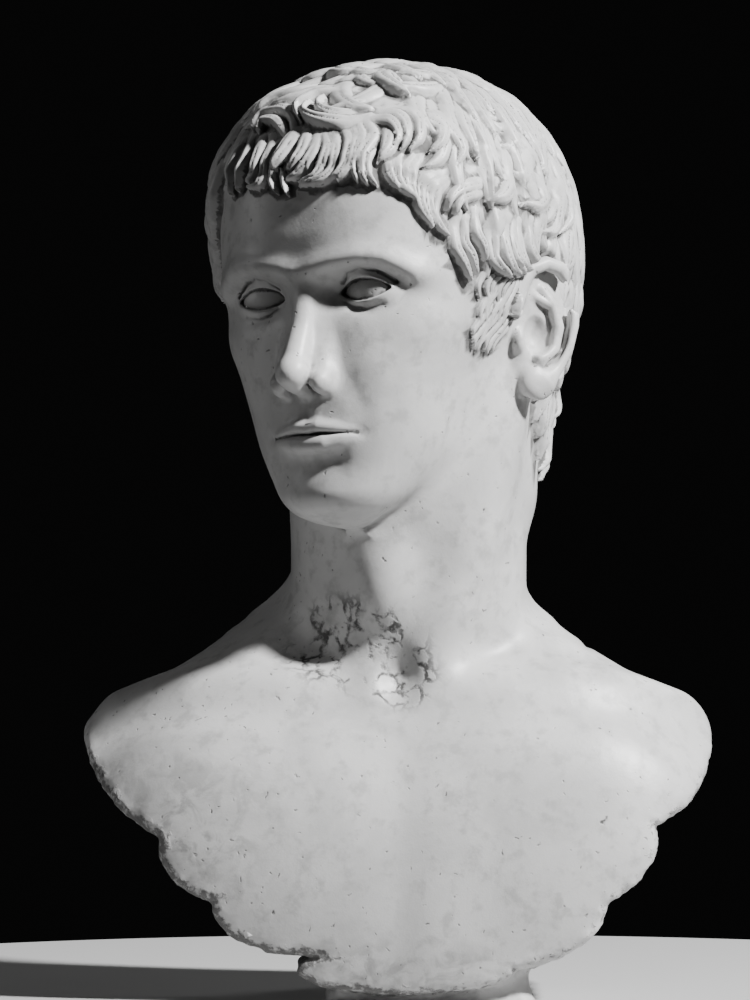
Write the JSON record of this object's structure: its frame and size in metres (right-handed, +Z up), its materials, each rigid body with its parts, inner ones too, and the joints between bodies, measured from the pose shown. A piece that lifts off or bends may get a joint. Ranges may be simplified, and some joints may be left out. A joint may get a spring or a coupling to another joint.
{
  "type": "roman emperor bust",
  "caption": "Carved marble portrait bust with short hair and a turned head, its chest ending in a broken scalloped edge over a flat support block.",
  "frame": {"origin": "middle of the support block's flat underside", "axes": "+Z up through the head, -Y towards the chest's front, +X to the viewer's right; the head turns toward -X"},
  "size_m": [0.3424, 0.2253, 0.5096],
  "materials": {
    "marble": "honed white marble, worn, with dark pits and stains"
  },
  "bodies": {
    "root": {"marble_bust": "marble"}
  },
  "joints": []
}
